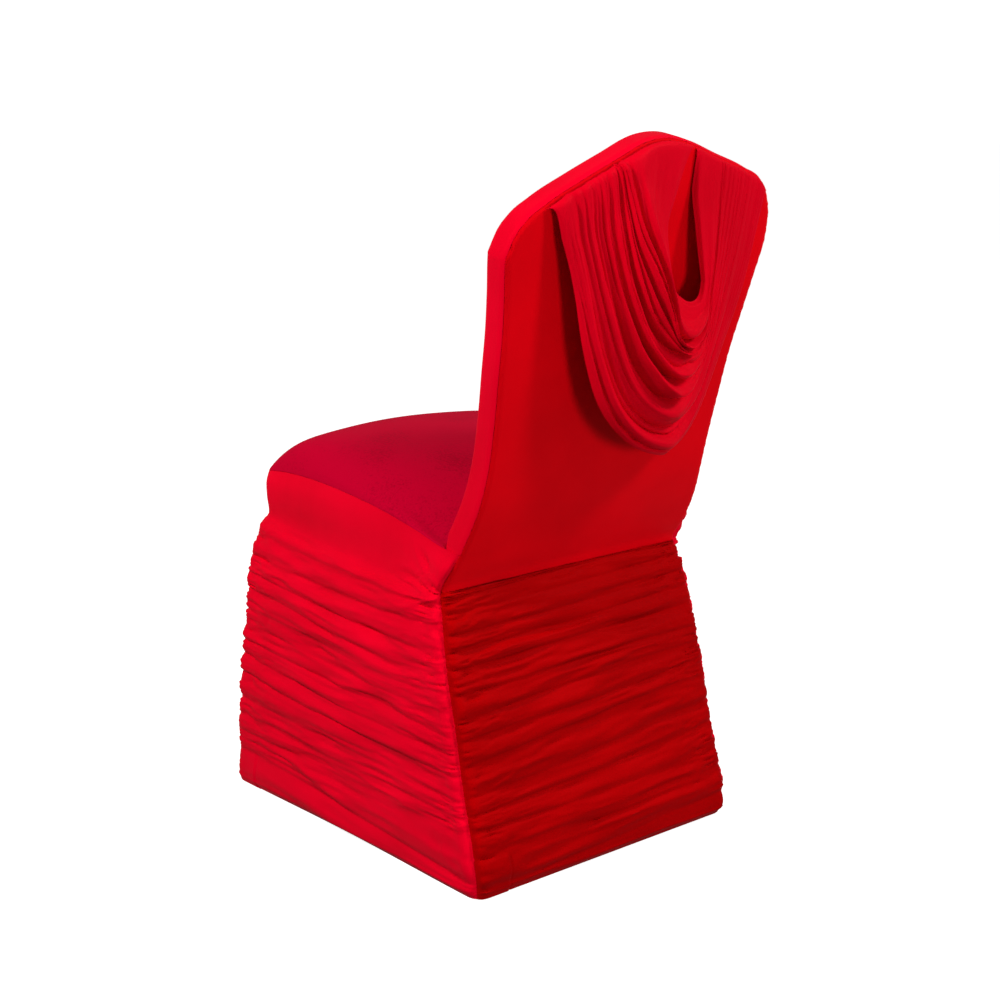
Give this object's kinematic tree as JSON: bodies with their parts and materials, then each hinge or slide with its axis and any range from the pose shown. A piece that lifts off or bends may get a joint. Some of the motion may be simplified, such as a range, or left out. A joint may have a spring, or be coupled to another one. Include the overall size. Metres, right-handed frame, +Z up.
{
  "type": "ruched chair cover",
  "caption": "Red stretch banquet-chair cover with gathered skirt panels and a pleated swag across the back.",
  "frame": {"origin": "on the floor, at the middle of the cover's footprint", "axes": "+Z up, the chair faces -Y, +X is the sitter's left"},
  "size_m": [0.4718, 0.6466, 0.9505],
  "materials": {
    "side_cloth": "satin",
    "rear_cloth": "satin",
    "seat_cloth": "matte"
  },
  "bodies": {
    "root": {"back_drape": "side_cloth", "back_front_panel": "side_cloth", "back_rear_panel": "rear_cloth", "foot_pocket_front_left": "side_cloth", "foot_pocket_front_right": "side_cloth", "foot_pocket_rear_left": "side_cloth", "foot_pocket_rear_right": "side_cloth", "seat_panel": "seat_cloth", "skirt_front": "side_cloth", "skirt_left": "side_cloth", "skirt_rear": "rear_cloth", "skirt_right": "side_cloth"}
  },
  "joints": []
}
